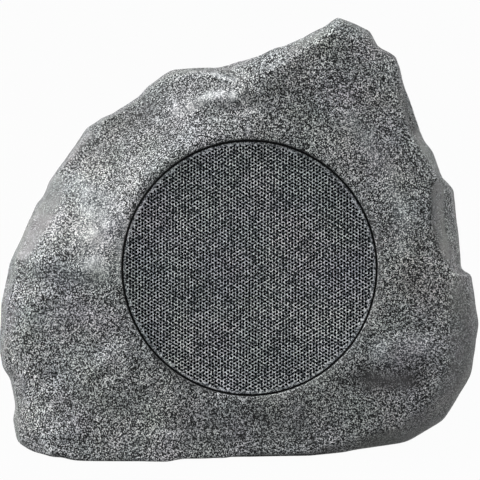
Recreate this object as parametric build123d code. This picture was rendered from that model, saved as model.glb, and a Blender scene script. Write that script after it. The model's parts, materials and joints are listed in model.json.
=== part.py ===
from build123d import *
from math import cos, hypot, radians, sin, sqrt
import os

# Rock shaped garden speaker: a hollow moulded stone on a screwed base plate, with a full-range driver
# behind a round perforated grille. Millimetres, +Z up, front towards -Y, standing on z = 0.

# Stone: its ribs run back from the grille and bend at seven corners
FACE_TILT = 10.0            # the face leans back by this many degrees
AXIS_HEIGHT = 134.5         # centre of the grille above the ground
LIP_WIDTH = 6.0             # flat lip round the grille's recess
LIP_ROUND = 3.0             # rounding of that lip into the recess
WALL = 5.0                  # moulded wall
SHOULDER_RUN = 0.72         # the flank turns steeper after this share of its run
SHOULDER_DROP = 0.42        # and at this share of its setback
WAIST_DEPTH = 152.0         # widest ring behind the girth
RUMP_RUN = 62.0             # on to the ring where the stone turns in towards its back
BACK_RUN = 32.0             # on to the back of the stone
BACK_LEAN = 0.30            # slope of the two rear rings, so that the back leans forwards
WAIST_SPREAD = 0.05         # the stone is wider low down by this share at the waist
RUMP_SHARE = 0.82           # rear rings against the girth, and how much wider they are low down
RUMP_SPREAD = 0.11
BACK_SHARE = 0.50
BACK_SPREAD = 0.14
CHIP = 5.0                  # uneven height of the rear corners
CHIP_TURN = 2.4             # radians from one rib's unevenness to the next
SLOPE_SHARE = 0.6           # share of an inset taken in depth at the shoulder and the rump
GIRTH_SHARE = 0.3           # and at the girth

# One rib a line: its turn about the grille's axis in degrees (0 at +X, anticlockwise from the front),
# the brow outside the lip, how far the brow's edge stands forward, the flank's run on to the girth,
# and how far the girth lies behind the face.
RIBS = (
    (-171.6, 58, -10, 27, 70),      # left waist
    (-161.3, 74, -15, 21, 78),      # left bulge
    (-150.9, 84, -14, 19, 72),      # left heel
    (-143.0, 92, -4, 20, 46),
    (-137.0, 94, 4, 12, 20),        # left toe
    (-112.0, 58, 9, 16, 20),        # front foot
    (-90.0, 42, 4, 20, 30),
    (-75.0, 42, 1, 21, 35),
    (-61.4, 42, -2, 21, 46),
    (-47.0, 58, -6, 19, 86),        # right foot
    (-38.0, 64, -6, 24, 128),       # right heel
    (-25.3, 58, -4, 24, 62),
    (-13.4, 49, -2, 24, 45),        # right boss
    (-1.9, 50, -2, 13, 48),
    (-0.6, 43, -2, 15, 78),         # ledge above the boss
    (11.3, 38, -1, 20.5, 80),       # chipped facet
    (20.8, 41, 0, 22, 80),
    (25.8, 50, 0, 6, 45),
    (33.0, 50, 0, 9, 40),           # right edge
    (40.9, 53, 0, 11.5, 32),
    (47.1, 60, 0, 12, 26),
    (52.7, 69, 0, 11.5, 20),
    (55.4, 75, 0, 11, 18),          # right corner of the top
    (59.8, 74, 0, 11, 20),          # notch beside it
    (63.0, 80, 0, 12.5, 22),
    (67.3, 80, 0, 12.5, 18),
    (70.6, 80, 0, 12, 14),          # peak
    (86.6, 38, 0, 17, 20),
    (97.8, 30, -10, 20, 62),        # dip in the top edge
    (111.4, 36, -26, 23, 88),
    (125.5, 34, -34, 21, 100),
    (139.4, 40, -38, 21, 110),      # left shoulder
    (159.2, 45, -32, 20, 105),
    (178.7, 50, -14, 28, 82),       # left ridge
)

# Grille and its recess
RECESS_DEPTH = 20.0
RECESS_WALL = 4.0           # wall of the well behind the recess
BAFFLE_THICKNESS = 8.0
GRILLE_RADIUS = 89.3
GRILLE_SHEET = 1.0
GRILLE_SET = 3.0            # front of the grille below the face
HOLE_PITCH = 15.1           # coarse perforation, nearest holes one above the other
HOLE_WIDTH = 10.0           # across the flats
HOLE_MARGIN = 2.0           # plain edge round the perforation
SEAL_WIDTH = 2.2            # room for the seal between the grille and the recess
SEAL_SET = 3.0              # top of the seal below the front of the grille
SCRIM_THICKNESS = 0.6

# Full-range driver
FLANGE_ROOM = 6.3           # from the grille's skirt in to the flange
FLANGE_THICKNESS = 3.0
FLANGE_SEAT = 10.0          # flange outside the baffle's cut-out
DRIVER_GASKET = 1.5
GASKET_WIDTH = 3.4
MOUTH_STEP = 6.0            # from the cut-out in to the mouth of the basket
BASKET_FLOOR_BORE = 20.0
BASKET_WALL = 2.5
BASKET_BEND = 3.75          # bend between the wall and the floor
BASKET_WINDOWS = 6
WINDOW_WIDTH = 26.0
WINDOW_EDGE = 4.0           # wall left above and below a window
CONE_DEPTH = 26.0
CONE_WALL = 1.2
ROLL_WIDTH = 9.0            # surround, from the mouth in to the cone
ROLL_HEIGHT = 4.6
ROLL_WALL = 0.8
ROLL_SLOPE = 3.0
ROLL_FOOT = 1.6
CAP_RADIUS = 22.0           # dust cap
CAP_CROWN = 12.0
CAP_RISE = 6.0
CAP_WALL = 0.8
COIL_RADIUS = 13.9
COIL_WALL = 1.1
COIL_LENGTH = 20.0
SPIDER_RADIUS = 41.0
SPIDER_WALL = 0.8
SPIDER_RISE = 5.0
SPIDER_LIP = 5.0
SPIDER_EDGE = 1.25          # spider to the wall of the basket
SPIDER_ROOM = 3.7           # spider to the neck of the cone
PLATE_STEP = 3.0            # steel plates inside the edge of the magnet
PLATE_THICKNESS = 6.0
MAGNET_RADIUS = 45.0
MAGNET_BORE = 24.0
MAGNET_THICKNESS = 16.0
POLE_GAP = 0.6              # pole to coil, and coil to top plate
TERMINAL_WIDTH = 24.0
TERMINAL_DEPTH = 11.0
TERMINAL_THICKNESS = 1.6
TAG_WIDTH = 4.8
TAG_THICKNESS = 0.8
TAG_LENGTH = 9.0
TAG_SPACING = 12.0

# Base
FOOT_DROP = 2.5             # rim of the stone above the ground
FOOT_SIZE = 22.0
FOOT_DRAFT = 1.5            # each side comes in by this much at the ground
FOOT_SPREAD = (150.0, 130.0)
PLATE_RECESS = 8.0          # base plate above the rim
BASE_THICKNESS = 4.0
BASE_GASKET = 1.5
BASE_GASKET_WIDTH = 6.0
LEDGE_WIDTH = 16.0
LEDGE_THICKNESS = 8.0
BASE_SCREWS = 6
BASE_SCREW_INSET = 5.0      # in from the wall
GROMMET_BORE = 3.25
GROMMET_NECK = 6.5
GROMMET_FLANGE = 9.5
GROMMET_LIP = 1.8
GROMMET_SETBACK = 48.0      # in from the rear of the base plate
NOTCH_RADIUS = 6.0          # way out for the cable under the rear rim
PAD_THICKNESS = 15.0
PAD_WIDTH = 150.0
PAD_HEIGHT = 100.0
PAD_LIFT = 30.0             # above the ledge

# Screws: pan heads, the same for the driver and the base
SCREW_RADIUS = 1.9
SCREW_HEAD_RADIUS = 3.6
SCREW_HEAD_HEIGHT = 2.4
SCREW_BITE = 6.0            # length held by the baffle or the ledge
DRIVER_SCREWS = 4
DRIVER_SCREW_EDGE = 3.8     # in from the edge of the flange
DRIVER_SCREW_START = 45.0

# Clearances
CLOSE = 0.1                 # rigid pieces that fit closely, and the screws in their holes
LOOSE = 0.5                 # pieces dropped into place
SOFT = 0.3                  # soft pieces beside what moves

FAR = 2000.0                # reaches past the stone, for cutting

# Radii about the grille's axis
recess_radius = GRILLE_RADIUS + SEAL_WIDTH
lip_radius = recess_radius + LIP_WIDTH
skirt_radius = GRILLE_RADIUS - GRILLE_SHEET
flange_radius = skirt_radius - FLANGE_ROOM
screw_circle = flange_radius - DRIVER_SCREW_EDGE
cutout_radius = flange_radius - FLANGE_SEAT
mouth_radius = cutout_radius - MOUTH_STEP
cone_radius = mouth_radius - ROLL_WIDTH
floor_radius = SPIDER_RADIUS + SPIDER_EDGE
plate_radius = MAGNET_RADIUS - PLATE_STEP
pole_radius = COIL_RADIUS - COIL_WALL - POLE_GAP
gap_radius = COIL_RADIUS + POLE_GAP
neck_radius = COIL_RADIUS + CLOSE
tag_radius = MAGNET_RADIUS + TERMINAL_DEPTH / 2

# Heights along that axis, 0 on the face and negative inwards
rump_depth = WAIST_DEPTH + RUMP_RUN
back_depth = rump_depth + BACK_RUN
grille_front = -GRILLE_SET
grille_back = grille_front - GRILLE_SHEET
baffle_front = -RECESS_DEPTH
baffle_back = baffle_front - BAFFLE_THICKNESS
flange_back = baffle_front + DRIVER_GASKET
flange_front = flange_back + FLANGE_THICKNESS
cone_rim = flange_front - SOFT
cone_neck = cone_rim - CONE_DEPTH
basket_floor = cone_neck - SPIDER_ROOM - SPIDER_RISE
basket_back = basket_floor - BASKET_WALL
plate_back = basket_back - PLATE_THICKNESS
magnet_back = plate_back - MAGNET_THICKNESS

# Heights above the ground
rim = FOOT_DROP
base_bottom = rim + PLATE_RECESS
base_top = base_bottom + BASE_THICKNESS
ledge_bottom = base_top + BASE_GASKET
ledge_top = ledge_bottom + LEDGE_THICKNESS


def grille_plane(x, y):
    """The plane of the face, with its origin on the grille's axis."""
    lean = radians(FACE_TILT)
    return Plane((x, y, AXIS_HEIGHT), x_dir=(1, 0, 0), z_dir=(0, -cos(lean), sin(lean)))


def slab(bottom, top):
    """Everything between two heights."""
    return Pos(0, 0, bottom) * Box(FAR, FAR, top - bottom, align=(Align.CENTER, Align.CENTER, Align.MIN))


def rib_corners(number, inset):
    """The corners of one rib, from the lip to the back, moved into the stone by an inset."""
    turn, brow, rise, flank, setback = RIBS[number]
    across, up = cos(radians(turn)), sin(radians(turn))
    edge = lip_radius + brow
    girth = edge + flank
    chip = CHIP * sin(CHIP_TURN * number)
    rump = girth * (RUMP_SHARE - RUMP_SPREAD * up) + chip
    back = girth * (BACK_SHARE - BACK_SPREAD * up) - chip
    corners = (
        # radius, depth behind the face, lean, share of the inset taken in depth
        (lip_radius, 0, 0, 1),
        (edge, -rise, 0, 1),
        (edge + SHOULDER_RUN * flank, SHOULDER_DROP * setback, 0, SLOPE_SHARE),
        (girth, setback, 0, GIRTH_SHARE),
        (girth * (1 - WAIST_SPREAD * up), WAIST_DEPTH + chip, 0, 0),
        (rump, rump_depth, BACK_LEAN, -SLOPE_SHARE),
        (back, back_depth, BACK_LEAN, -1),
    )
    places = []
    for radius, depth, lean, share in corners:
        x, y = (radius - inset) * across, (radius - inset) * up
        places.append((x, y, lean * y - depth - share * inset))
    return places


def facet(*corners):
    """A flat face with these corners."""
    return Face(Wire.make_polygon(corners))


def stone(inset=0.0):
    """The closed skin of flat facets, moved inwards by an inset and cut flat at its rim."""
    ribs = [rib_corners(number, inset) for number in range(len(RIBS))]
    front = facet(*[rib[0] for rib in ribs])
    back = facet(*[rib[-1] for rib in ribs])
    skin = [front, back]
    for left, right in zip(ribs, ribs[1:] + ribs[:1]):
        for near in range(len(left) - 1):
            skin.append(facet(left[near], right[near], right[near + 1]))
            skin.append(facet(left[near], right[near + 1], left[near + 1]))
    return FRONT.location * Solid(Shell(skin)) & slab(rim, FAR)


def turned(*profile):
    """A ring or disc turned about the grille's axis from the (radius, height) corners of its section."""
    section = make_face(Plane.XZ * Polyline(*profile, close=True))
    return FRONT.location * revolve(section, Axis.Z)


def tube(outer, inner, bottom, top):
    """A plain ring about the grille's axis."""
    return turned((inner, bottom), (outer, bottom), (outer, top), (inner, top))


def disc(radius, bottom, top):
    """A plain disc on the grille's axis."""
    return turned((0, bottom), (radius, bottom), (radius, top), (0, top))


def screw(length):
    """A pan head screw along Z, its head standing on z = 0."""
    section = Polyline(
        (0, SCREW_HEAD_HEIGHT), (SCREW_HEAD_RADIUS, SCREW_HEAD_HEIGHT), (SCREW_HEAD_RADIUS, 0),
        (SCREW_RADIUS, 0), (SCREW_RADIUS, -length), (0, -length), close=True,
    )
    return revolve(make_face(Plane.XZ * section), Axis.Z)


def hole(radius, depth):
    """A cutter that goes down from z = 0."""
    return Cylinder(radius, depth, align=(Align.CENTER, Align.CENTER, Align.MAX))


def driver_screw_places():
    """Where the driver's screws enter the front of its flange."""
    circle = PolarLocations(screw_circle, DRIVER_SCREWS, start_angle=DRIVER_SCREW_START)
    return [FRONT.location * Pos(0, 0, flange_front) * place for place in circle]


def base_screw_places():
    """Where the base screws enter the plate from below, evenly along a line inside the wall."""
    line = (stone(WALL + BASE_SCREW_INSET) & slab(base_bottom, base_top)).faces().sort_by(Axis.Z)[0]
    points = [line.outer_wire() @ (number / BASE_SCREWS) for number in range(BASE_SCREWS)]
    return [Pos(point) * Rot(180, 0, 0) for point in points]


def grommet_place():
    """Where the cable passes the top of the base plate, at its rear."""
    return Pos(0, base_plate_blank().bounding_box().max.Y - GROMMET_SETBACK, base_top)


def base_plate_blank():
    """The base plate before its holes."""
    return stone(WALL + LOOSE) & slab(base_bottom, base_top)


def rock_shell():
    """Moulded stone with the grille's recess, the driver's baffle, the base ledge and the cable notch."""
    well = disc(recess_radius + RECESS_WALL, baffle_back, 0) & stone()
    ledge = (stone(WALL / 2) - stone(WALL + LEDGE_WIDTH)) & slab(ledge_bottom, ledge_top)
    shell = stone() - stone(WALL) + well + ledge
    shell -= disc(recess_radius, baffle_front, FAR)
    shell -= disc(cutout_radius, baffle_back - WALL, FAR)
    recess_edge = shell.edges().filter_by(GeomType.CIRCLE).sort_by(Axis(FRONT.origin, FRONT.z_dir))[-1]
    shell = fillet(recess_edge, LIP_ROUND)
    for place in driver_screw_places():
        shell -= place * hole(SCREW_RADIUS + CLOSE, flange_front - baffle_front + SCREW_BITE)
    for place in base_screw_places():
        shell -= place * hole(SCREW_RADIUS + CLOSE, ledge_bottom - base_bottom + SCREW_BITE)
    grommet = grommet_place().position
    notch = Pos(grommet.X, grommet.Y + GROMMET_FLANGE, rim) * Rot(-90, 0, 0) * Cylinder(
        NOTCH_RADIUS, FAR, align=(Align.CENTER, Align.CENTER, Align.MIN)
    )
    return shell - notch


def base_plate():
    """Flat floor of the enclosure, dropped in from below."""
    plate = base_plate_blank()
    for place in base_screw_places():
        plate -= place * hole(SCREW_RADIUS + CLOSE, BASE_THICKNESS)
    return plate - grommet_place() * hole(GROMMET_NECK, BASE_THICKNESS)


def base_gasket():
    """Foam strip between the plate and the ledge, inside the line of screws."""
    inner = WALL + LEDGE_WIDTH
    return (stone(inner - BASE_GASKET_WIDTH) - stone(inner)) & slab(base_top, ledge_bottom)


def base_screws():
    length = ledge_bottom - base_bottom + SCREW_BITE
    return Compound(children=[place * screw(length) for place in base_screw_places()])


def foot(across, along):
    """Tapered rubber pad under the base plate."""
    top = Pos(across * FOOT_SPREAD[0] / 2, along * FOOT_SPREAD[1] / 2, base_bottom)
    sole = FOOT_SIZE - FOOT_DRAFT
    pad = Wedge(
        FOOT_SIZE, base_bottom, FOOT_SIZE, FOOT_DRAFT, FOOT_DRAFT, sole, sole,
        align=(Align.CENTER, Align.MIN, Align.CENTER),
    )
    return top * Rot(-90, 0, 0) * pad


def cable_grommet():
    """Grooved rubber ring in the base plate."""
    section = Polyline(
        (GROMMET_BORE, GROMMET_LIP), (GROMMET_FLANGE, GROMMET_LIP), (GROMMET_FLANGE, 0),
        (GROMMET_NECK - CLOSE, 0), (GROMMET_NECK - CLOSE, -BASE_THICKNESS),
        (GROMMET_FLANGE, -BASE_THICKNESS), (GROMMET_FLANGE, -BASE_THICKNESS - GROMMET_LIP),
        (GROMMET_BORE, -BASE_THICKNESS - GROMMET_LIP), close=True,
    )
    return grommet_place() * revolve(make_face(Plane.XZ * section), Axis.Z)


def hole_places():
    """Centres of the grille's holes: columns a half pitch out of step."""
    reach = skirt_radius - HOLE_MARGIN - HOLE_WIDTH / sqrt(3)
    column_pitch = HOLE_PITCH * sqrt(3) / 2
    columns = int(reach / column_pitch)
    rows = int(reach / HOLE_PITCH) + 1
    places = []
    for column in range(-columns, columns + 1):
        for row in range(-rows, rows + 1):
            x = column * column_pitch
            y = (row + column % 2 / 2) * HOLE_PITCH
            if hypot(x, y) < reach:
                places.append((x, y))
    return places


def grille():
    """Pressed disc with a folded skirt that stands on the baffle, perforated all over."""
    pressing = turned(
        (0, grille_front), (GRILLE_RADIUS, grille_front), (GRILLE_RADIUS, baffle_front),
        (skirt_radius, baffle_front), (skirt_radius, grille_back), (0, grille_back),
    )
    holes = Locations(*hole_places()) * RegularPolygon(HOLE_WIDTH / 2, 6, major_radius=False)
    return pressing - FRONT.location * Pos(0, 0, grille_back) * extrude(Sketch() + holes, GRILLE_SHEET)


def grille_seal():
    """Rubber strip between the grille's skirt and the wall of the recess."""
    return tube(recess_radius - CLOSE, GRILLE_RADIUS + CLOSE, baffle_front, grille_front - SEAL_SET)


def grille_scrim():
    """Black cloth glued to the back of the grille."""
    return disc(skirt_radius - LOOSE, grille_back - SCRIM_THICKNESS, grille_back)


def driver_gasket():
    return tube(cutout_radius + GASKET_WIDTH, cutout_radius, baffle_front, flange_back)


def driver_basket():
    """Pressed frame: flange, windowed cone wall, floor, and a lug for the terminals."""
    basket = turned(
        (mouth_radius, flange_front), (flange_radius, flange_front), (flange_radius, flange_back),
        (cutout_radius - LOOSE, flange_back), (floor_radius + BASKET_BEND, basket_back),
        (BASKET_FLOOR_BORE, basket_back), (BASKET_FLOOR_BORE, basket_floor), (floor_radius, basket_floor),
        (mouth_radius, flange_back),
    )
    window_top = baffle_back - WINDOW_EDGE
    window_height = window_top - basket_floor - WINDOW_EDGE
    window = Pos(floor_radius, 0, window_top) * Box(
        cutout_radius, WINDOW_WIDTH, window_height, align=(Align.CENTER, Align.CENTER, Align.MAX)
    )
    for turn in PolarLocations(0, BASKET_WINDOWS):
        basket -= FRONT.location * turn * window
    lug = Pos(0, -floor_radius, basket_back) * Box(
        TERMINAL_WIDTH, tag_radius + TERMINAL_DEPTH / 2 - floor_radius, BASKET_WALL,
        align=(Align.CENTER, Align.MAX, Align.MIN),
    )
    basket += FRONT.location * lug
    for place in driver_screw_places():
        basket -= place * hole(SCREW_RADIUS + CLOSE, FLANGE_THICKNESS)
    return basket


def driver_screws():
    length = flange_front - baffle_front + SCREW_BITE
    return Compound(children=[place * screw(length) for place in driver_screw_places()])


def driver_surround():
    """Half roll from the cone's rim to the flange, its feet flat on both."""
    outer = mouth_radius + ROLL_FOOT
    inner = cone_radius - ROLL_FOOT
    crest = flange_front + ROLL_HEIGHT
    under = crest - ROLL_WALL
    return turned(
        (outer, flange_front), (outer - ROLL_SLOPE, crest), (inner + ROLL_SLOPE, crest),
        (inner, flange_front), (inner + ROLL_FOOT, flange_front), (inner + ROLL_FOOT + ROLL_SLOPE, under),
        (outer - ROLL_FOOT - ROLL_SLOPE, under), (outer - ROLL_FOOT, flange_front),
    )


def driver_cone():
    """Straight paper cone, with a flat rim for the surround's foot."""
    return turned(
        (cone_radius, cone_rim), (cone_radius - ROLL_FOOT, cone_rim), (neck_radius, cone_neck),
        (neck_radius, cone_neck - CONE_WALL),
    )


def dust_cap():
    """Crowned cap on the cone, over the voice coil."""
    slope = CONE_DEPTH / (cone_radius - ROLL_FOOT - neck_radius)
    seat = cone_neck + (CAP_RADIUS - neck_radius) * slope
    crown = seat + CAP_RISE
    return turned(
        (0, crown), (CAP_CROWN, crown), (CAP_RADIUS, seat), (CAP_RADIUS - 2 * CAP_WALL, seat),
        (CAP_CROWN, crown - CAP_WALL), (0, crown - CAP_WALL),
    )


def voice_coil():
    """Former with its winding, hanging in the motor's gap."""
    return tube(COIL_RADIUS, COIL_RADIUS - COIL_WALL, cone_neck - COIL_LENGTH, cone_neck)


def spider():
    """Cupped disc from the basket's floor to the coil."""
    step = SPIDER_RADIUS - SPIDER_LIP
    inner = COIL_RADIUS + SOFT
    shelf = basket_floor + SPIDER_RISE
    return turned(
        (SPIDER_RADIUS, basket_floor), (SPIDER_RADIUS, basket_floor + SPIDER_WALL),
        (step, basket_floor + SPIDER_WALL), (step, shelf), (inner, shelf), (inner, shelf - SPIDER_WALL),
        (step - SPIDER_WALL, shelf - SPIDER_WALL), (step - SPIDER_WALL, basket_floor),
    )


def top_plate():
    return tube(plate_radius, gap_radius, plate_back, basket_back)


def magnet():
    return tube(MAGNET_RADIUS, MAGNET_BORE, magnet_back, plate_back)


def back_plate():
    """Steel disc with the pole that reaches through the coil."""
    return turned(
        (0, basket_back), (pole_radius, basket_back), (pole_radius, magnet_back),
        (plate_radius, magnet_back), (plate_radius, magnet_back - PLATE_THICKNESS),
        (0, magnet_back - PLATE_THICKNESS),
    )


def terminal_strip():
    """Board behind the basket's lug."""
    board = Pos(0, -tag_radius, basket_back) * Box(
        TERMINAL_WIDTH, TERMINAL_DEPTH, TERMINAL_THICKNESS, align=(Align.CENTER, Align.CENTER, Align.MAX)
    )
    return FRONT.location * board


def terminal_tags():
    """Two blades standing on the board."""
    blade = Box(TAG_WIDTH, TAG_THICKNESS, TAG_LENGTH, align=(Align.CENTER, Align.CENTER, Align.MAX))
    board_back = basket_back - TERMINAL_THICKNESS
    sides = (-TAG_SPACING / 2, TAG_SPACING / 2)
    return Compound(children=[FRONT.location * Pos(x, -tag_radius, board_back) * blade for x in sides])


def damping_pad():
    """Wadding against the inside of the back wall."""
    lining = stone(WALL + CLOSE) - stone(WALL + PAD_THICKNESS)
    patch = Pos(0, 0, ledge_top + PAD_LIFT) * Box(
        PAD_WIDTH, FAR, PAD_HEIGHT, align=(Align.CENTER, Align.MIN, Align.MIN)
    )
    return lining & patch


# The stone's box is centred over the origin
FRONT = grille_plane(0, 0)
middle = stone().bounding_box().center()
FRONT = grille_plane(-middle.X, -middle.Y)

PARTS = {
    "rock_shell": rock_shell(),
    "base_plate": base_plate(),
    "base_gasket": base_gasket(),
    "base_screws": base_screws(),
    "foot_front_left": foot(-1, -1),
    "foot_front_right": foot(1, -1),
    "foot_rear_left": foot(-1, 1),
    "foot_rear_right": foot(1, 1),
    "cable_grommet": cable_grommet(),
    "grille": grille(),
    "grille_seal": grille_seal(),
    "grille_scrim": grille_scrim(),
    "driver_gasket": driver_gasket(),
    "driver_basket": driver_basket(),
    "driver_screws": driver_screws(),
    "driver_surround": driver_surround(),
    "driver_cone": driver_cone(),
    "dust_cap": dust_cap(),
    "voice_coil": voice_coil(),
    "spider": spider(),
    "top_plate": top_plate(),
    "magnet": magnet(),
    "back_plate": back_plate(),
    "terminal_strip": terminal_strip(),
    "terminal_tags": terminal_tags(),
    "damping_pad": damping_pad(),
}

os.makedirs("parts", exist_ok=True)
for name, solid in PARTS.items():
    export_step(solid, f"parts/{name}.step")
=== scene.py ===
import json
from math import cos, pi, radians, sin, sqrt, tan

import bmesh
import bpy
import numpy as np
from mathutils import Matrix, Vector


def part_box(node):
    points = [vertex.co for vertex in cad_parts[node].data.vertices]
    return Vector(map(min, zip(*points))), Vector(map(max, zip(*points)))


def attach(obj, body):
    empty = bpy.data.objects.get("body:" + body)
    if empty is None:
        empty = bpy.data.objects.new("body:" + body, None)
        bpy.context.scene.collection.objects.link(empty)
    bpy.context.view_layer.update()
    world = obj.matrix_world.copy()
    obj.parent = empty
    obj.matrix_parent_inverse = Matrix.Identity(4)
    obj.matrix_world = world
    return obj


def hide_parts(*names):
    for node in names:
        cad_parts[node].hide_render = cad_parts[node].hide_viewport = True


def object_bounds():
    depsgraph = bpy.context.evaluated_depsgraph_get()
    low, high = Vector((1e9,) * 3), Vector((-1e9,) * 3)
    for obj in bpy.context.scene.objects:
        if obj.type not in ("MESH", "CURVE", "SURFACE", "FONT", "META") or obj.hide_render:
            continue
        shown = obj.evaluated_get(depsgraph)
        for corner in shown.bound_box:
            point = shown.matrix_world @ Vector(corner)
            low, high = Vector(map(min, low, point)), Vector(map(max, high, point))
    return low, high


# Rock shaped garden speaker: the moulded stone, its perforated grille and the small pieces, dressed in
# place around the CAD frame. Blender's sizes are in metres, and MM turns millimetres into them.

MM = 0.001
MERGE = 0.001 * MM

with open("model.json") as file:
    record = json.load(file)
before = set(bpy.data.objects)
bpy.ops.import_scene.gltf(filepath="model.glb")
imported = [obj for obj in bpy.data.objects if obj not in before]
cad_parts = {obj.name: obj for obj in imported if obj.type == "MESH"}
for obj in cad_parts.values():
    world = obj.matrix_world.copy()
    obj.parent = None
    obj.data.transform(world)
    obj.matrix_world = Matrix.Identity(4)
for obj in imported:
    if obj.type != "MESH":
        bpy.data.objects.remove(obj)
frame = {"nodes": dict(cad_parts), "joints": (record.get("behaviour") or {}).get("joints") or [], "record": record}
nodes = frame["nodes"]
cad_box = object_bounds()

# The face of the stone: its origin on the grille's axis, X to the right, Y up the face, Z out of it
SCRIM_DEPTH = 4.3 * MM          # middle of the cloth behind the face
face_z = Vector(frame["joints"][0]["axis"]).normalized()
face_x = Vector((1, 0, 0))
face_y = face_z.cross(face_x)
scrim_low, scrim_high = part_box("grille_scrim")
face_origin = (scrim_low + scrim_high) / 2 + face_z * SCRIM_DEPTH
FACE = Matrix.Translation(face_origin) @ Matrix((face_x, face_y, face_z)).transposed().to_4x4()

# Camera, square on to the face
VIEW_DISTANCE = 2200.0          # from the face, millimetres
VIEW_WIDTH = 339.0              # width of the picture at the face
VIEW_SHIFT = (-6.7, 19.75)      # middle of the picture from the grille's centre

camera = bpy.data.objects.new("camera", bpy.data.cameras.new("camera"))
bpy.context.scene.collection.objects.link(camera)
camera.data.lens = camera.data.sensor_width * VIEW_DISTANCE / VIEW_WIDTH
camera.matrix_world = FACE @ Matrix.Translation(Vector((*VIEW_SHIFT, VIEW_DISTANCE)) * MM)
bpy.context.scene.camera = camera


# Modelling

def only(piece):
    """Selects this piece alone and makes it active."""
    bpy.ops.object.select_all(action="DESELECT")
    piece.select_set(True)
    bpy.context.view_layer.objects.active = piece


def edit(piece, selected="SELECT"):
    """Opens a piece in edit mode with all of it selected, or none."""
    only(piece)
    bpy.ops.object.mode_set(mode="EDIT")
    bpy.ops.mesh.select_all(action=selected)


def close(piece):
    """Leaves edit mode."""
    bpy.ops.object.mode_set(mode="OBJECT")
    return piece


def settle(piece, matrix=Matrix.Identity(4)):
    """Moves a piece's mesh to its place and leaves its object at the origin."""
    piece.data.transform(matrix @ piece.matrix_basis)
    piece.matrix_basis = Matrix.Identity(4)
    return piece


def modify(piece, kind, **settings):
    """Adds a modifier with these settings and applies it."""
    only(piece)
    modifier = piece.modifiers.new(kind.lower(), kind)
    for name, value in settings.items():
        setattr(modifier, name, value)
    bpy.ops.object.modifier_apply(modifier=modifier.name)
    return piece


def cut(piece, operation, *others):
    """Joins other pieces to this one or takes them away from it, and removes them."""
    for other in others:
        modify(piece, "BOOLEAN", operation=operation, solver="MANIFOLD", object=other)
        bpy.data.objects.remove(other)
    return piece


def places(piece):
    """The piece's vertices as an array."""
    flat = np.empty(len(piece.data.vertices) * 3, np.float32)
    piece.data.vertices.foreach_get("co", flat)
    return flat.reshape(-1, 3).astype(float)


def normals(piece):
    """The piece's vertex normals as an array."""
    flat = np.empty(len(piece.data.vertices) * 3, np.float32)
    piece.data.vertex_normals.foreach_get("vector", flat)
    return flat.reshape(-1, 3).astype(float)


def move_to(piece, new):
    """Puts the piece's vertices at these places."""
    piece.data.vertices.foreach_set("co", new.astype(np.float32).ravel())
    piece.data.update()


def on_face(world):
    """Places in the frame of the face, in millimetres."""
    turn = np.array(FACE.inverted())
    return (world @ turn[:3, :3].T + turn[:3, 3]) / MM


def clean(piece):
    """Merges doubles and turns the faces outwards."""
    edit(piece)
    bpy.ops.mesh.remove_doubles(threshold=MERGE)
    bpy.ops.mesh.normals_make_consistent(inside=False)
    return close(piece)


def copy_of(piece, name):
    """A new piece with a copy of another's mesh, its doubles merged."""
    made = bpy.data.objects.new(name, piece.data.copy())
    bpy.context.collection.objects.link(made)
    edit(made)
    bpy.ops.mesh.remove_doubles(threshold=MERGE)
    return close(made)


def turned(name, profile, steps=96):
    """A piece spun about Z from the (radius, height) corners of its section, in millimetres."""
    mesh = bpy.data.meshes.new(name)
    corners = [(radius * MM, 0, height * MM) for radius, height in profile]
    mesh.from_pydata(corners, [(i, i + 1) for i in range(len(corners) - 1)], [])
    piece = bpy.data.objects.new(name, mesh)
    bpy.context.collection.objects.link(piece)
    edit(piece)
    bpy.ops.mesh.spin(steps=steps, angle=2 * pi, center=(0, 0, 0), axis=(0, 0, 1))
    close(piece)
    return clean(piece)


def ring(profile):
    """The same with a closed section, on the grille's axis."""
    return settle(turned("ring", [*profile, profile[0]]), FACE)


def arc(centre, radius, start, end, count):
    """Corners along part of a circle, in degrees."""
    turns = [radians(start + (end - start) * i / count) for i in range(count + 1)]
    return [(centre[0] + radius * cos(turn), centre[1] + radius * sin(turn)) for turn in turns]


def islands(piece, count):
    """Parts a piece into its loose islands, removes all but the largest few and returns those."""
    edit(piece)
    bpy.ops.mesh.separate(type="LOOSE")
    bpy.ops.object.mode_set(mode="OBJECT")
    made = sorted(bpy.context.selected_objects, key=lambda part: max(part.dimensions), reverse=True)
    for part in made[count:]:
        bpy.data.objects.remove(part)
    return made[:count]


def inner_loop(piece, height, name):
    """The inner of the two closed loops in which a level plane meets a hollow piece."""
    cutting = copy_of(piece, name)
    edit(cutting)
    bpy.ops.mesh.bisect(plane_co=(0, 0, height * MM), plane_no=(0, 0, 1), clear_inner=True, clear_outer=True)
    close(cutting)
    outer, inner = islands(cutting, 2)
    bpy.data.objects.remove(outer)
    return inner


def prism(loop, bottom, top, spread=1.0):
    """A solid between two heights over a loop, spread about its middle."""
    edit(loop)
    bpy.ops.mesh.edge_face_add()
    bpy.ops.mesh.extrude_region_move(TRANSFORM_OT_translate={"value": (0, 0, (top - bottom) * MM)})
    close(loop)
    corners = places(loop)
    middle = (corners.min(0) + corners.max(0)) / 2
    corners[:, :2] = middle[:2] + (corners[:, :2] - middle[:2]) * spread
    corners[:, 2] += bottom * MM - corners[:, 2].min()
    move_to(loop, corners)
    return clean(loop)


# Finishes

def linear(colour):
    """An sRGB hex colour as linear red, green, blue and alpha."""
    shares = [int(colour[i:i + 2], 16) / 255 for i in (1, 3, 5)]
    return [s / 12.92 if s <= 0.04045 else ((s + 0.055) / 1.055) ** 2.4 for s in shares] + [1.0]


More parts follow.
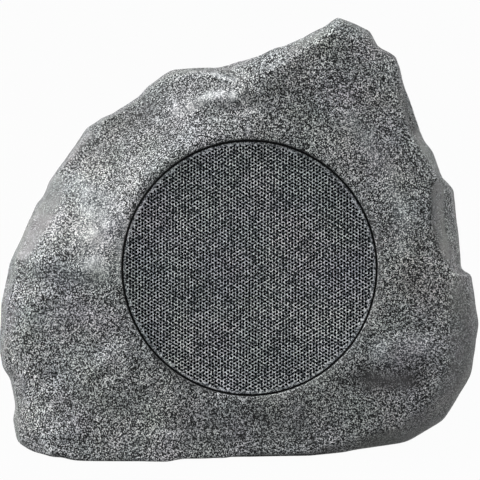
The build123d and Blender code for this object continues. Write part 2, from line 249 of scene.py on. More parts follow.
def add(tree, kind, inputs=None, stops=None, **settings):
    """Adds a node with its settings, and its inputs as values or links, and a ramp's stops."""
    made = tree.nodes.new(kind)
    for name, value in settings.items():
        setattr(made, name, value)
    for socket, value in (inputs or {}).items():
        if isinstance(value, bpy.types.NodeSocket):
            tree.links.new(value, made.inputs[socket])
        else:
            made.inputs[socket].default_value = value
    if stops:
        ramp = made.color_ramp
        while len(ramp.elements) < len(stops):
            ramp.elements.new(1.0)
        for element, (position, colour) in zip(ramp.elements, stops):
            element.position, element.color = position, linear(colour)
    return made


def finish(name, values):
    """A new material, its node tree, its shader with these values, and the place on the object."""
    material = bpy.data.materials.new(name)
    material.use_nodes = True
    tree = material.node_tree
    shader = tree.nodes["Principled BSDF"]
    for socket, value in values.items():
        shader.inputs[socket].default_value = value
    return material, tree, shader, add(tree, "ShaderNodeTexCoord").outputs["Object"]


# Granite paint: its grains and heights are in millimetres, and its shades run from 0, black, to 1, white
GROUND_GRAIN, GROUND_SHADES = 0.5, (0.25, 0.8)
FLECKS = (                      # spacing, share of the places that have one, its reach, its change of shade
    (0.66, 0.42, 0.53, 1.0),    # white
    (0.96, 0.62, 0.62, -1.0),   # black
)
FLECK_EDGE = 0.04               # half the width of a fleck's edge, as a share of the spacing
RAGGED_GRAIN, RAGGED_REACH = 1.1, 0.2
DRIFT_GRAIN = 38.0              # slow change of tone and hue
CATCH_GRAIN = 9.0               # where a dry brush catches
# Grey that the pale strokes turn the flecks to: dry-brushed paint, partly painted highlight
PALE_PAINT_AND_HIGHLIGHT_GREY = 0.86
PAINT_AND_LIGHT_RANGE = (-1.5, 1.3)     # darkest and palest
# Also the colour of the painted highlight along the lip
PLAIN_COLOUR = "#888888"        # where the spray hardly reached
GRIT_GRAIN, GRIT_HEIGHT = 0.8, 0.15
ASKEW = (0.6, 0.5, 0.9)         # turns the grid of the flecks away from the face, so that no rows show


def granite(name, weathered, stops):
    """Sprayed granite paint: a grey ground under fine white flecks and larger black ones, in a flat lacquer
    that hardly shines. On the stone its ridges are paler, partly from wear and partly as a painted highlight,
    and its hollows are darker as painted shade. Dry strokes of pale paint, partly painted highlights on lit
    ledges and facets, cover the flecks, dark strokes are painted shade, and the flecks thin out where the
    spray hardly reached."""
    material, tree, shader, spot = finish(name, {"Roughness": 0.6, "Specular IOR Level": 0.22})
    spot = add(tree, "ShaderNodeMapping", {"Vector": spot, "Rotation": ASKEW}).outputs[0]
    ragged = add(tree, "ShaderNodeTexNoise", {
        "Vector": spot, "Scale": 1 / (RAGGED_GRAIN * MM), "Detail": 2.0,
    })
    grain = add(tree, "ShaderNodeVectorMath", {
        0: ragged.outputs["Color"], 1: (RAGGED_REACH * MM,) * 3, 2: spot,
    }, operation="MULTIPLY_ADD").outputs[0]
    ground = add(tree, "ShaderNodeTexVoronoi", {"Vector": grain, "Scale": 1 / (GROUND_GRAIN * MM)})
    shade = add(tree, "ShaderNodeSeparateColor", {0: ground.outputs["Color"]}).outputs["Red"]
    shade = add(tree, "ShaderNodeMapRange", {0: shade, 3: GROUND_SHADES[0], 4: GROUND_SHADES[1]}).outputs[0]
    for spacing, share, reach, change in FLECKS:
        cells = add(tree, "ShaderNodeTexVoronoi", {"Vector": grain, "Scale": 1 / (spacing * MM)})
        number = add(tree, "ShaderNodeSeparateColor", {0: cells.outputs["Color"]}).outputs["Green"]
        chosen = add(tree, "ShaderNodeMath", {0: number, 1: share}, operation="LESS_THAN").outputs[0]
        fleck = add(tree, "ShaderNodeMapRange", {
            0: cells.outputs["Distance"], 1: reach - FLECK_EDGE, 2: reach + FLECK_EDGE, 3: change, 4: 0.0,
        }).outputs[0]
        shade = add(tree, "ShaderNodeMath", {
            0: chosen, 1: fleck, 2: shade,
        }, operation="MULTIPLY_ADD", use_clamp=True).outputs[0]
    drift = add(tree, "ShaderNodeTexNoise", {"Vector": spot, "Scale": 1 / (DRIFT_GRAIN * MM), "Detail": 3.0})
    tone = add(tree, "ShaderNodeMapRange", {
        0: drift.outputs["Fac"], 1: 0.3, 2: 0.7, 3: 0.88, 4: 1.12,
    }).outputs[0]
    if weathered:
        # Pale strokes of dry-brushed paint, partly painted highlight, and dark strokes of painted shade
        paint_and_painted_light = add(tree, "ShaderNodeAttribute", attribute_name="paint_and_painted_light").outputs["Fac"]
        catch = add(tree, "ShaderNodeTexNoise", {
            "Vector": spot, "Scale": 1 / (CATCH_GRAIN * MM), "Detail": 4.0,
        }).outputs["Fac"]
        dry = add(tree, "ShaderNodeMapRange", {0: catch, 1: 0.36, 2: 0.62, 3: 0.25, 4: 0.65}).outputs[0]
        cover = add(tree, "ShaderNodeMath", {0: paint_and_painted_light, 1: dry}, operation="MULTIPLY", use_clamp=True)
        shade = add(tree, "ShaderNodeMix", {0: cover.outputs[0], 2: shade, 3: PALE_PAINT_AND_HIGHLIGHT_GREY}).outputs[0]
        # Paler on ridges, partly wear and partly painted highlight, and darker in hollows: painted shade
        wear_and_painted_light = add(tree, "ShaderNodeAttribute", attribute_name="wear_and_painted_light").outputs["Fac"]
        ridge_wear_and_light = add(tree, "ShaderNodeMapRange", {0: wear_and_painted_light, 1: -0.5, 2: 0.5, 3: 0.82, 4: 1.18}).outputs[0]
        # Painted shade: the dark strokes darken the tone
        painted_shade = add(tree, "ShaderNodeMapRange", {
            0: paint_and_painted_light, 1: PAINT_AND_LIGHT_RANGE[0], 2: 0.0, 3: 0.1, 4: 1.0,
        }).outputs[0]
        for amount in (ridge_wear_and_light, painted_shade):
            tone = add(tree, "ShaderNodeMath", {0: tone, 1: amount}, operation="MULTIPLY").outputs[0]
    colour = add(tree, "ShaderNodeValToRGB", {0: shade}, stops).outputs[0]
    if weathered:
        # Plain grey where the spray hardly reached, and along the lip a painted highlight
        plain = add(tree, "ShaderNodeAttribute", attribute_name="plain").outputs["Fac"]
        thin = add(tree, "ShaderNodeMapRange", {0: catch, 1: 0.4, 2: 0.6, 3: 0.6, 4: 1.0}).outputs[0]
        plain = add(tree, "ShaderNodeMath", {0: plain, 1: thin}, operation="MULTIPLY").outputs[0]
        colour = add(tree, "ShaderNodeMix", {
            0: plain, 6: colour, 7: linear(PLAIN_COLOUR),
        }, data_type="RGBA").outputs[2]
    tint = add(tree, "ShaderNodeVectorMath", {
        0: drift.outputs["Color"], 1: (0.16,) * 3, 2: (0.92,) * 3,
    }, operation="MULTIPLY_ADD").outputs[0]
    for amount in (tint, tone):
        colour = add(tree, "ShaderNodeVectorMath", {0: colour, 1: amount}, operation="MULTIPLY").outputs[0]
    tree.links.new(colour, shader.inputs["Base Color"])
    grit = add(tree, "ShaderNodeTexNoise", {"Vector": spot, "Scale": 1 / (GRIT_GRAIN * MM), "Detail": 3.0})
    bump = add(tree, "ShaderNodeBump", {
        "Height": grit.outputs["Fac"], "Strength": 0.5, "Distance": GRIT_HEIGHT * MM,
    })
    tree.links.new(bump.outputs[0], shader.inputs["Normal"])
    return material


def solid(name, patch, colours, gloss, grit, depth, values, drawn=(1, 1, 1)):
    """A moulded, cast or coated finish: its colour and roughness wander in patches, and a grit roughens it,
    both of these sizes in millimetres. The grit can be drawn out along an axis."""
    material, tree, shader, spot = finish(name, values)
    patches = add(tree, "ShaderNodeTexNoise", {
        "Vector": spot, "Scale": 1 / (patch * MM), "Detail": 4.0,
    }).outputs["Fac"]
    low, high = 0.32, 0.68
    colour = add(tree, "ShaderNodeValToRGB", {0: patches}, list(zip((low, high), colours))).outputs[0]
    tree.links.new(colour, shader.inputs["Base Color"])
    rough = add(tree, "ShaderNodeMapRange", {0: patches, 1: low, 2: high, 3: gloss[0], 4: gloss[1]})
    tree.links.new(rough.outputs[0], shader.inputs["Roughness"])
    along = add(tree, "ShaderNodeVectorMath", {0: spot, 1: drawn}, operation="MULTIPLY").outputs[0]
    grains = add(tree, "ShaderNodeTexNoise", {"Vector": along, "Scale": 1 / (grit * MM), "Detail": 3.0})
    bump = add(tree, "ShaderNodeBump", {
        "Height": grains.outputs["Fac"], "Strength": 0.6, "Distance": depth * MM,
    })
    tree.links.new(bump.outputs[0], shader.inputs["Normal"])
    return material


def woven(name, thread, colours, values):
    """A plain weave across and up, its threads this far apart in millimetres."""
    material, tree, shader, spot = finish(name, values)
    place = add(tree, "ShaderNodeSeparateXYZ", {0: spot})
    waves = []
    for axis in ("X", "Z"):
        turn = add(tree, "ShaderNodeMath", {
            0: place.outputs[axis], 1: pi / (thread * MM),
        }, operation="MULTIPLY").outputs[0]
        waves.append(add(tree, "ShaderNodeMath", {0: turn}, operation="SINE").outputs[0])
    over = add(tree, "ShaderNodeMath", {0: waves[0], 1: waves[1]}, operation="MULTIPLY").outputs[0]
    height = add(tree, "ShaderNodeMapRange", {0: over, 1: -1.0, 2: 1.0}).outputs[0]
    # Darker where the threads dip under each other: painted shade between them
    colour = add(tree, "ShaderNodeValToRGB", {0: height}, list(zip((0.1, 0.9), colours))).outputs[0]
    tree.links.new(colour, shader.inputs["Base Color"])
    bump = add(tree, "ShaderNodeBump", {"Height": height, "Strength": 0.7, "Distance": 0.3 * MM})
    tree.links.new(bump.outputs[0], shader.inputs["Normal"])
    return material


def winding(name, wire):
    """Wire wound round the driver's axis, its turns this far apart in millimetres."""
    material, tree, shader, spot = finish(name, {"Metallic": 0.9, "Roughness": 0.34})
    along = add(tree, "ShaderNodeVectorMath", {0: spot, 1: face_z}, operation="DOT_PRODUCT").outputs["Value"]
    turn = add(tree, "ShaderNodeMath", {0: along, 1: 2 * pi / (wire * MM)}, operation="MULTIPLY").outputs[0]
    crest = add(tree, "ShaderNodeMath", {0: turn}, operation="SINE").outputs[0]
    height = add(tree, "ShaderNodeMapRange", {0: crest, 1: -1.0, 2: 1.0}).outputs[0]
    # Darker in the grooves between the turns: painted shade
    colour = add(tree, "ShaderNodeValToRGB", {0: height}, [(0.0, "#5a2c14"), (0.5, "#b0683a")]).outputs[0]
    tree.links.new(colour, shader.inputs["Base Color"])
    bump = add(tree, "ShaderNodeBump", {"Height": height, "Strength": 0.8, "Distance": 0.2 * MM})
    tree.links.new(bump.outputs[0], shader.inputs["Normal"])
    return material


METAL = {"Metallic": 1.0}
finishes = {
    # Cast resin filled with stone dust, under granite paint: a dull speckle from near black to near white
    # On the stone it also carries painted highlights on lit ledges and facets, and painted shade in hollows
    "granite_resin": granite("sprayed_granite_on_resin", True, [
        (0.05, "#030404"), (0.3, "#44474a"), (0.5, "#6e7173"), (0.7, "#909394"), (0.95, "#eceeee"),
    ]),
    # Perforated steel under the same paint: paler, because little of it is left between the holes
    "granite_steel": granite("sprayed_granite_on_steel", False, [
        (0.05, "#383c40"), (0.3, "#7d8288"), (0.6, "#b8bcc0"), (0.95, "#fafdff"),
    ]),
    # EPDM rubber, moulded: nearly black, dull, with a bloom that greys it in patches
    "black_rubber": solid(
        "moulded_rubber", 6.0, ("#131415", "#202122"), (0.6, 0.78), 0.7, 0.08, {"Specular IOR Level": 0.35}
    ),
    # Polyester scrim: black threads 0.5 mm apart, drawn 0.9 mm apart so that they show
    "black_cloth": woven(
        "woven_scrim", 0.9, ("#030304", "#0a0a0b"), {"Roughness": 0.9, "Specular IOR Level": 0.1}
    ),
    # ABS, moulded in a spark-eroded tool: charcoal with an even fine matte texture
    "base_plastic": solid("textured_abs", 14.0, ("#1b1c1e", "#242527"), (0.5, 0.62), 0.6, 0.1, {"IOR": 1.53}),
    # Zinc-plated steel: a pale blue-grey metal, brighter where a screwdriver has rubbed it
    "screw_steel": solid("zinc_plated_steel", 2.0, ("#9a9da2", "#c9ccd0"), (0.42, 0.24), 0.5, 0.02, METAL),
    # Powder-coated steel: black satin with a soft orange peel
    "basket_paint": solid("powder_coat", 9.0, ("#141516", "#1d1e20"), (0.36, 0.48), 1.4, 0.05, {"IOR": 1.5}),
    # Polypropylene filled with mica: dark grey, with a slight silky gloss
    "cone_plastic": solid(
        "mica_polypropylene", 1.2, ("#1a1b1d", "#35373a"), (0.3, 0.46), 0.8, 0.05, {"IOR": 1.49}
    ),
    # Enamelled copper wire 0.3 mm thick: a warm metal in fine rings, drawn 0.6 mm apart so that they show
    "coil_wire": winding("enamelled_copper", 0.6),
    # Cotton dipped in phenolic resin: stiff golden brown cloth, threads 0.7 mm apart
    "spider_cloth": woven("dipped_cotton", 0.7, ("#7d5a2a", "#c39a58"), {"Roughness": 0.75}),
    # Steel with a dull zinc coat: mid-grey metal with faint cloudy spangle
    "motor_steel": solid("dull_zinc_steel", 5.0, ("#6d7176", "#8f9398"), (0.45, 0.32), 0.8, 0.02, METAL),
    # Barium ferrite, ground: charcoal ceramic with grinding marks along one way
    "ferrite": solid(
        "ground_ferrite", 8.0, ("#222326", "#303236"), (0.48, 0.66), 0.5, 0.05, {"IOR": 1.8}, (0.05, 1, 1)
    ),
    # Paper phenolic laminate: red-brown board with paper fibre along it
    "phenolic": solid(
        "paper_phenolic", 3.0, ("#5a3517", "#7c4d26"), (0.38, 0.52), 0.5, 0.03, {"IOR": 1.6}, (0.15, 1, 1)
    ),
    # Tinned brass: yellow metal under a thin pale coat
    "tag_brass": solid("tinned_brass", 2.5, ("#b39a5c", "#d8c894"), (0.38, 0.26), 0.6, 0.02, METAL),
    # Polyester wadding: off-white loose fibres, drawn out across the pad
    "wadding": solid(
        "polyester_wadding", 7.0, ("#c9cac5", "#e9e9e4"), (0.9, 1.0), 1.6, 0.9, {"Sheen Weight": 0.4},
        (0.3, 1, 1),
    ),
}


def keep(piece, name, body, node, slot):
    """Names a finished piece, dresses it, hangs it on what carries it and hides the node it stands for."""
    piece.name = piece.data.name = name
    only(piece)
    bpy.ops.object.shade_smooth_by_angle(angle=radians(35))
    piece.data.materials.clear()
    piece.data.materials.append(finishes[slot])
    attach(piece, body)
    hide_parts(node)
    return piece


# Stone, in millimetres
RECESS_RADIUS = 91.5
RECESS_DEPTH = 20.0
MOUTH_RADIUS, MOUTH_DEPTH = 90.8, 5.2       # the lip that holds the seal strip in
CUTOUT_RADIUS = 72.0
LIP_ROUND = 1.3
LIP_LEAVE = 20.0                # degrees at which the lip's rounding leaves the face
LIP_REACH = 12.0                # how far it goes on in that direction
LIP_STEP = 0.6                  # slope under the lip
CUT_DEPTH, CUT_HEIGHT = 50.0, 40.0          # how far the cut for the recess goes behind and before the face
PLUG_RADIUS, PLUG_DEPTH = 95.0, 25.0        # closes the recess
RIM = 2.5                       # the stone's rim above the ground
RIM_CUT = 6.0                   # how far the cut for the base goes below it
LEDGE = 16.0                    # underside of the ledge over the base plate
BASE_TOP, BASE_SPREAD = 20.0, 1.02          # closes the stone below, a little into its wall
WALL_LEVEL, OPENING_LEVEL = 9.0, 20.0       # heights at which the wall and the ledge's opening are read
OPENING_BOTTOM, OPENING_TOP = 10.0, 22.0
NOTCH_RADIUS, NOTCH_LENGTH = 6.0, 200.0     # way out for the cable at the rear
VOXEL = 2.1
CAST_PASSES, ROUNDED_PASSES, WEAR_AND_SHADE_PASSES = 2, 40, 14        # of smoothing
CALM_HEIGHTS = (-45.0, -20.0)   # from the face: the stone round the grille turns smooth between these
CALM_WIDTHS = (6.0, 18.0)       # from the recess: it turns rough again between these
RIM_HEIGHTS = (3.0, 22.0)       # above the ground: the relief sets in between these
PLAIN_MOST = 0.8                # some flecks reach every plain place


def lip_profile():
    """Section of the grille's recess, from the axis to above the face."""
    rounding = arc((MOUTH_RADIUS + LIP_ROUND, -LIP_ROUND), LIP_ROUND, 180, 90 + LIP_LEAVE, 5)
    radius, height = rounding[-1]
    outer = radius + LIP_REACH
    return [
        (0, -CUT_DEPTH), (CUTOUT_RADIUS, -CUT_DEPTH),
        (CUTOUT_RADIUS, -RECESS_DEPTH), (RECESS_RADIUS, -RECESS_DEPTH),
        (RECESS_RADIUS, -MOUTH_DEPTH - LIP_STEP), (MOUTH_RADIUS, -MOUTH_DEPTH), *rounding,
        (outer, height + LIP_REACH * tan(radians(LIP_LEAVE))), (outer, CUT_HEIGHT), (0, CUT_HEIGHT),
    ]


def stone_hollows():
    """The closed stone, and everything that is hollow in it."""
    shell = copy_of(nodes["rock_shell"], "stone")
    wall = inner_loop(shell, WALL_LEVEL, "wall")
    opening = inner_loop(shell, OPENING_LEVEL, "opening")
    base = prism(copy_of(wall, "base"), RIM, BASE_TOP, BASE_SPREAD)
    plug = turned("plug", [(0, -PLUG_DEPTH), (PLUG_RADIUS, -PLUG_DEPTH), (PLUG_RADIUS, 0), (0, 0)])
    cut(shell, "UNION", base, settle(plug, FACE))
    closed, cavity = islands(shell, 2)
    edit(cavity)
    bpy.ops.mesh.flip_normals()
    close(cavity)
    bpy.ops.mesh.primitive_cylinder_add(
        vertices=48, radius=NOTCH_RADIUS * MM, depth=NOTCH_LENGTH * MM,
        location=(0, NOTCH_LENGTH * MM, RIM * MM), rotation=(pi / 2, 0, 0),
    )
    notch = settle(bpy.context.object)
    hollow = cut(
        cavity, "UNION", prism(opening, OPENING_BOTTOM, OPENING_TOP), prism(wall, RIM - RIM_CUT, LEDGE),
        settle(turned("recess", lip_profile(), 192), FACE), notch,
    )
    return closed, hollow


stone, hollow = stone_hollows()
modify(stone, "REMESH", mode="VOXEL", voxel_size=VOXEL * MM)
modify(stone, "SMOOTH", factor=0.5, iterations=CAST_PASSES)

# Strokes of the modeller's tools on the front. Each has its (x, y) points on the face as the camera sees
# them, its half width and its height, in millimetres. A height below 0 is a groove.
STROKES = (
    (((-169, -7), (-134, -13), (-91, -10)), 10, -1.5),          # crease under the left ridge
    (((-160, 6), (-120, 0), (-96, 6)), 9, 1.6),                 # the ridge above it
    (((-15, 142), (-4, 126), (2, 115)), 6, -2.2),               # crease below the dip in the top edge
    (((-63, 111), (-35, 119), (-9, 121)), 7, 2.2),              # ledge at the top left
    (((-50, 128), (-14, 130)), 7, -1.6),                        # hollow behind it
    (((-28, 136), (-10, 134), (-4, 126)), 3, 1.4),              # rim of that hollow
    (((-127, -72), (-104, -66), (-84, -58)), 15, 1.6),          # swelling at the lower left
    (((-156, -24), (-140, -30)), 14, -1.0),                     # hollow at the far left
    (((98, -58), (110, -55), (124, -54)), 15, 2.4),             # bump at the lower right
    (((80, -80), (98, -82), (116, -80)), 14, -2.2),             # dent under it
    (((118, -14), (126, -30)), 14, -1.6),                       # hollow right of the grille
    (((113, 122), (122, 92)), 9, -2.4),                         # nick at the right edge
    (((96, 60), (112, 34), (110, 10)), 10, 1.2),                # swelling along the grille's right
    (((-70, 92), (-92, 74), (-100, 52)), 10, -1.2),             # hollow along its upper left
    (((-120, 62), (-112, 36)), 10, 1.6),                        # swelling outside that
    (((129, 58), (129, 34), (134, 8)), 5, -2.2),                # valley before the right facet
)

# How far the front of the rim dips or rises, in the same form, where it faces forwards or down
RIM_WAVE = (
    (((-120, -136), (-60, -138)), 16, -1.9),
    (((-4, -134), (52, -132)), 16, 1.9),
)

# Hollows in the outline, in the same form
OUTLINE = (
    (((-93, 109), (-79, 120)), 13, -2.4),
    (((26, 160), (50, 172)), 12, -2.0),
    (((108, 128), (124, 92)), 14, -2.4),
    (((-147, 58), (-146, 50)), 7, -2.0),
    (((-170, -80), (-167, -96)), 12, -4.0),
)

# Where the stone is worn round, in the same form
ROUNDED = (
    (((166, -40), (158, -80), (136, -108), (90, -128)), 30, 2.0),
    (((-78, 126), (-56, 140), (-34, 141)), 24, 1.6),
)


def seen(piece):
    """Where the camera sees each vertex on the plane of the face, in millimetres, and how squarely."""
    spots = on_face(places(piece))
    nearer = VIEW_DISTANCE / (VIEW_DISTANCE - spots[:, 2])
    shift = np.array(VIEW_SHIFT)
    return shift + (spots[:, :2] - shift) * nearer[:, None], normals(piece) @ np.array(face_z)


def step(value, low, high):
    """Rises smoothly from 0 at low to 1 at high."""
    share = np.clip((value - low) / (high - low), 0, 1)
    return share * share * (3 - 2 * share)


def stroked(piece, strokes, front=True):
    """The sum of some strokes, each fading to its half width, on the side that the camera sees or on all."""
    spots, facing = seen(piece)
    total = np.zeros(len(spots))
    for points, width, height in strokes:
        reach = np.full(len(spots), np.inf)
        for start, end in zip(points, points[1:]):
            run = np.subtract(end, start)
            share = np.clip((spots - start) @ run / (run @ run), 0, 1)
            reach = np.minimum(reach, np.linalg.norm(spots - start - share[:, None] * run, axis=1))
        total += height * (1 - step(reach, 0, width))
    return total * step(facing, 0, 0.25) if front else total


def weigh(piece, name, weights):
    """A vertex group with these weights."""
    group = piece.vertex_groups.new(name=name)
    levels = np.round(weights, 2)
    for level in np.unique(levels):
        group.add(np.flatnonzero(levels == level).tolist(), float(level), "REPLACE")
    return name


def clouds(name, grain, kind="SOFT_NOISE", depth=2):
    """A solid noise for the Displace modifier, with grains of this size in millimetres."""
    texture = bpy.data.textures.new(name, "CLOUDS")
    texture.noise_scale = grain * MM
    texture.noise_type = kind
    texture.noise_depth = depth
    return texture


def calm(piece):
    """Where the stone stays smooth: round the grille."""
    spots = on_face(places(piece))
    from_axis = np.hypot(spots[:, 0], spots[:, 1])
    near, far = (RECESS_RADIUS + width for width in CALM_WIDTHS)
    return step(spots[:, 2], *CALM_HEIGHTS) * (1 - step(from_axis, near, far))


def weathered(piece):
    """How freely the surface may wander: less on the edges that make the outline, and little at the rim."""
    squarely = np.abs(normals(piece) @ np.array(face_z))
    outline = 0.5 + 0.5 * step(squarely, 0.15, 0.5)
    return (1 - calm(piece)) * outline * step(places(piece)[:, 2] / MM, *RIM_HEIGHTS)


# Relief of the cast: the grain of each noise, its kind, its depth of detail and its height
RELIEF = (
    ("lumps", 42, "HARD_NOISE", 1, 2.4),
    ("dents", 17, "SOFT_NOISE", 2, 1.6),
    ("pocks", 7, "SOFT_NOISE", 1, 0.5),
)

rounded = weigh(stone, "rounded", np.clip(stroked(stone, ROUNDED, front=False), 0, 1))
modify(stone, "SMOOTH", factor=0.5, iterations=ROUNDED_PASSES, vertex_group=rounded)
carved = (stroked(stone, STROKES) + stroked(stone, OUTLINE, front=False)) * (1 - calm(stone))
move_to(stone, places(stone) + normals(stone) * (carved * MM)[:, None])
free = weigh(stone, "weather", weathered(stone))
askew = Matrix.Rotation(0.9, 4, Vector((1, 2, 3)))        # turns the grid of the noise away from the face
settle(stone, askew)
for name, grain, kind, depth, height in RELIEF:
    modify(
        stone, "DISPLACE", texture=clouds(name, grain, kind, depth), texture_coords="LOCAL",
        strength=height * MM, mid_level=0.5, vertex_group=free,
    )
stone.vertex_groups.clear()
settle(stone, askew.inverted())
move_to(stone, np.clip(places(stone), *np.array(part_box("rock_shell"))))
clean(cut(stone, "DIFFERENCE", hollow))
corners = places(stone)
corners[:, 2] += stroked(stone, RIM_WAVE, front=False) * step(seen(stone)[1], -0.6, -0.3) * MM
move_to(stone, np.clip(corners, *np.array(cad_box)))


def note(piece, name, values):
    """Keeps a number for each vertex as an attribute that a material reads."""
    attribute = piece.data.attributes.new(name, "FLOAT", "POINT")
    attribute.data.foreach_set("value", values.astype(np.float32))


# Paint brushed over the flecks and painted light, in the same form as the strokes: 1 is pale and -1 is dark
# The dark strokes are painted shade: in the nick, the dent, the creases, on the lip and towards the bottom
# The pale strokes are dry-brushed paint and, on the lit facet, ledges, bump and lip, painted highlight
PAINT_STROKES_AND_PAINTED_LIGHT = (
    (((-122, 60), (-104, 48), (-112, 34), (-100, 24)), 16, 1.0),
    (((-112, 38), (-116, 20), (-106, 6)), 18, 0.9),
    (((-132, 42), (-138, 24)), 7, 0.6),
    (((-92, 42), (-90, 34)), 7, 0.5),
    (((-116, 4), (-104, -6), (-112, -10)), 8, 0.55),
    (((-80, 92), (-64, 100)), 8, 0.4),
    (((-63, 105), (-35, 117), (-25, 122), (-12, 121)), 7, 1.6),
    (((-26, 137), (-10, 133)), 3, 1.3),
    (((-6, 126), (0, 112), (-2, 96)), 4, 0.9),
    (((-62, 120), (-54, 116)), 6, 0.8),
    (((72, 104), (96, 69), (109, 41), (107, 15)), 16, 0.6),
    (((92, -61), (108, -57), (122, -55)), 18, 0.65),
    # painted highlight on the lip of the recess
    (arc((0, 0), 92.5, 160, 186, 8), 3.5, 1.3),
    # painted shade on the lower left of the lip
    (arc((0, 0), 92, 222, 252, 8), 3, -0.8),
    (((-118, -66), (-100, -62), (-86, -54)), 10, 0.35),
    # painted shade in the dent
    (((80, -78), (98, -82), (114, -80)), 14, -0.95),
    # painted shade in the nick at the right edge
    (((109, 117), (117, 97)), 5, -0.8),
    (((-130, -96), (-90, -100)), 24, -0.4),
    # painted shade: darker towards the bottom
    (((-40, -113), (36, -113)), 26, -0.6),
    (((85, -80), (96, -84)), 9, -0.1),
    (((-20, 108), (30, 128)), 24, -0.2),
    (((154, -30), (152, -74)), 20, -0.5),
    (((138, 50), (144, 10)), 12, -0.2),
    (((129, 58), (129, 34), (134, 8)), 5, -0.4),
    (((-88, 106), (-58, 124)), 22, -0.45),
    (((-112, 78), (-94, 92), (-64, 102)), 26, -0.45),
    (((-150, 0), (-124, -8), (-106, -2)), 16, 0.4),
    (((112, -6), (124, -30)), 14, -0.35),
    (((-162, -16), (-148, -26)), 10, -0.25),
    (((-150, -34), (-112, -38)), 22, 0.4),
    (((-64, 104), (-62, 108)), 4, -0.4),
    (((-44, 129), (-20, 131)), 6, -0.3),
)

# Plain places, in the same form: steep flanks behind the front's edge that the spray hardly reached, and the lip
PLAIN = (
    (((-137, 60), (-139, 52), (-144, 40), (-152, 26), (-161, 12)), 9, 2.6),
    (((-112, 95), (-128, 77)), 4, 0.8),
    (((-166, -30), (-173, -58)), 4, 0.5),
    (((-167, -92), (-163, -112)), 3, 0.7),
    (((118, 96), (124, 82), (134, 66)), 4, 0.8),
    (((133, 57), (133, 40), (134, 26), (140, 10)), 5.5, 3.2),
    (((150, -16), (153, -42), (150, -72), (142, -90)), 17, 0.6),
    (((134, -108), (112, -120), (80, -127)), 5, 0.6),
    (((86, -79), (110, -80)), 10, 0.6),
    (((66, 176), (80, 168), (92, 156)), 4, 0.4),
    (((30, 154), (54, 168)), 4, 0.5),
    # painted highlight: the pale smooth band along the rounded lip of the recess
    (arc((0, 0), 93, -85, 30, 20), 3, 0.3),
)


def note_paint(piece):
    """Notes where the piece stands out of its surroundings, which shows paler on ridges, partly as wear
    and partly as a painted highlight, and darker in hollows as painted shade; the brushed paint, with its
    painted highlights and painted shade; and the plain places.
    """
    smoothed_copy = copy_of(piece, "smoothed_copy")
    modify(smoothed_copy, "SMOOTH", factor=0.5, iterations=WEAR_AND_SHADE_PASSES)
    # How far each place stands out: read as paler ridges, partly painted highlight, and painted shade in hollows
    note(piece, "wear_and_painted_light", np.einsum("ij,ij->i", places(piece) - places(smoothed_copy), normals(piece)) / MM)
    bpy.data.objects.remove(smoothed_copy)
    note(piece, "paint_and_painted_light", np.clip(stroked(piece, PAINT_STROKES_AND_PAINTED_LIGHT), *PAINT_AND_LIGHT_RANGE))
    note(piece, "plain", np.clip(stroked(piece, PLAIN), 0, PLAIN_MOST))


note_paint(stone)
keep(stone, "stone", "enclosure", "rock_shell", "granite_resin")


# Grille: one cell, repeated in columns a half pitch out of step, trimmed to the disc and folded back
GRILLE_RADIUS = 89.3
GRILLE_FRONT = -3.3
GRILLE_SHEET = 0.7
HOLE_PITCH = 2.5
HOLE_RADIUS = 1.04
CELL_CORNERS = 12               # six round its hole and six round its edge
CELL_SEAM = 0.02                # corners this near each other are one
PLAIN_EDGE = 0.1                # between the outermost holes and the fold


def perforated_disc():
    """A flat sheet of six-sided cells, each with its hole."""
    bpy.ops.object.select_all(action="DESELECT")
    bpy.ops.mesh.primitive_circle_add(vertices=6, radius=HOLE_RADIUS * MM)
    sheet = bpy.context.object
    sheet.data.transform(Matrix.Rotation(radians(30), 4, "Z"))
    edit(sheet)
    bpy.ops.mesh.extrude_region_move()
    spread = HOLE_PITCH / sqrt(3) / HOLE_RADIUS
    bpy.ops.transform.resize(value=(spread, spread, 1))
    close(sheet)
    column = HOLE_PITCH * sqrt(3) / 2
    rows = 2 * int(GRILLE_RADIUS / HOLE_PITCH) + 2
    pairs = int(GRILLE_RADIUS / column) + 2
    for count, shift in ((2, (column, HOLE_PITCH / 2)), (rows, (0, HOLE_PITCH)), (pairs, (2 * column, 0))):
        modify(
            sheet, "ARRAY", count=count, use_relative_offset=False, use_constant_offset=True,
            constant_offset_displace=(shift[0] * MM, shift[1] * MM, 0),
        )
    corners = places(sheet)
    corners[:, 0] -= (pairs - 1) / 2 * 2 * column * MM
    corners[:, 1] -= rows / 2 * HOLE_PITCH * MM
    move_to(sheet, corners)
    cells = corners.reshape(-1, CELL_CORNERS, 3).mean(1) / MM
    reach = GRILLE_RADIUS - GRILLE_SHEET - PLAIN_EDGE - HOLE_RADIUS
    far = np.hypot(cells[:, 0], cells[:, 1]) > reach
    edit(sheet, "DESELECT")
    close(sheet)
    sheet.data.vertices.foreach_set("select", np.repeat(far, CELL_CORNERS))
    bpy.ops.object.mode_set(mode="EDIT")
    bpy.ops.mesh.delete(type="VERT")
    bpy.ops.mesh.select_all(action="SELECT")
    bpy.ops.mesh.remove_doubles(threshold=CELL_SEAM * MM)
    return close(sheet)


